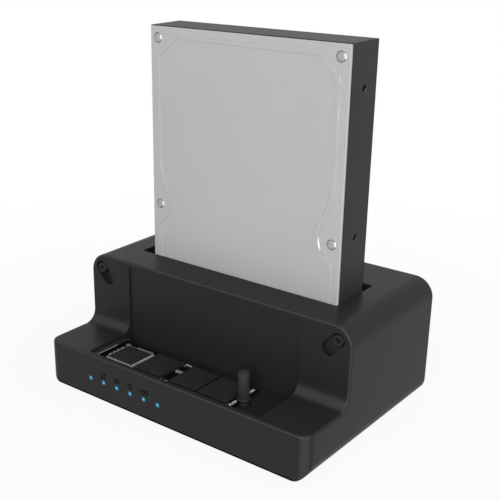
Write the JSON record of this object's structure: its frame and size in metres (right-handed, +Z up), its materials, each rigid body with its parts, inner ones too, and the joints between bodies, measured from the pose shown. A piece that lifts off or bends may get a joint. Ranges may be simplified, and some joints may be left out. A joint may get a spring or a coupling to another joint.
{
  "type": "drive duplicator",
  "caption": "Desktop dock with a low front shelf that holds a 3.5 inch hard drive on end in a top slot and an M.2 solid-state drive flat in a pit, and copies one to the other",
  "frame": {"origin": "middle of the box around the whole part, at the level of the feet", "axes": "+X to the right seen from the front, +Y to the rear, +Z up along the hard drive"},
  "size_m": [0.144, 0.1, 0.1633],
  "materials": {
    "housing_plastic": "moulded, fine grain, charcoal",
    "base_plastic": "moulded, plain, black",
    "foot_rubber": "die cut, matt",
    "plug_rubber": "moulded, matt",
    "screw_steel": "zinc plated",
    "black_screw": "black oxide",
    "circuit_board": "green solder mask",
    "drive_circuit_board": "blue-green solder mask",
    "ssd_circuit_board": "black solder mask",
    "chip_epoxy": "moulded epoxy",
    "coil_ferrite": "pressed ferrite",
    "can_aluminium": "drawn, bright",
    "light_pipe": "clear acrylic",
    "led_body": "white resin",
    "connector_plastic": "glass-filled, black",
    "connector_steel": "stamped, nickel plated",
    "part_ceramic": "fired ceramic with tinned ends",
    "frame_steel": "stamped, tin plated",
    "post_brass": "turned hexagon",
    "drive_cover_steel": "pressed sheet, satin",
    "drive_base_casting": "die cast, dark coating",
    "motor_steel": "drawn, satin"
  },
  "bodies": {
    "dock": {"housing_shell": "housing_plastic", "base_plate": "base_plastic", "rubber_feet": "foot_rubber", "case_screws": "black_screw", "main_board": "circuit_board", "board_screws": "screw_steel", "board_chips": "chip_epoxy", "board_coils": "coil_ferrite", "board_capacitors": "can_aluminium", "light_pipes": "light_pipe", "status_leds": "led_body", "dc_socket": "connector_plastic", "usb_socket": "connector_steel", "power_switch": "connector_plastic", "clone_switch": "connector_plastic", "sata_socket": "connector_plastic", "m2_board": "circuit_board", "spacer_posts": "post_brass", "board_link": "connector_plastic", "m2_socket": "connector_plastic"},
    "power_button": {"power_button": "base_plastic"},
    "clone_button": {"clone_button": "base_plastic"},
    "ssd": {"ssd_board": "ssd_circuit_board", "ssd_controller": "chip_epoxy", "ssd_controller_ring": "frame_steel", "ssd_memory": "chip_epoxy", "ssd_small_parts": "part_ceramic", "ssd_plug": "plug_rubber"},
    "spare_plug_left": {"spare_plug_left": "plug_rubber"},
    "spare_plug_right": {"spare_plug_right": "plug_rubber"},
    "drive": {"drive_base": "drive_base_casting", "drive_cover": "drive_cover_steel", "drive_cover_screws": "screw_steel", "drive_board": "drive_circuit_board", "drive_board_screws": "screw_steel", "drive_motor_cap": "motor_steel", "drive_plug": "connector_plastic"}
  },
  "joints": [
    {"name": "drive_lift", "type": "slide", "parent": "dock", "child": "drive", "axis": [0, 0, 1], "range_m": [0, 0.05]},
    {"name": "ssd_tilt", "type": "hinge", "parent": "dock", "child": "ssd", "pos_m": [-0.0473, -0.0345, 0.0186], "axis": [0, -1, 0], "range_deg": [0, 20]},
    {"name": "spare_plug_left_pull", "type": "slide", "parent": "dock", "child": "spare_plug_left", "axis": [0, -1, 0], "range_m": [0, 0.022]},
    {"name": "spare_plug_right_pull", "type": "slide", "parent": "dock", "child": "spare_plug_right", "axis": [0, -1, 0], "range_m": [0, 0.022]},
    {"name": "power_press", "type": "slide", "parent": "dock", "child": "power_button", "axis": [0, -1, 0], "range_m": [0, 0.001], "stiffness_N_per_m": 800},
    {"name": "clone_press", "type": "slide", "parent": "dock", "child": "clone_button", "axis": [0, -1, 0], "range_m": [0, 0.001], "stiffness_N_per_m": 800}
  ]
}
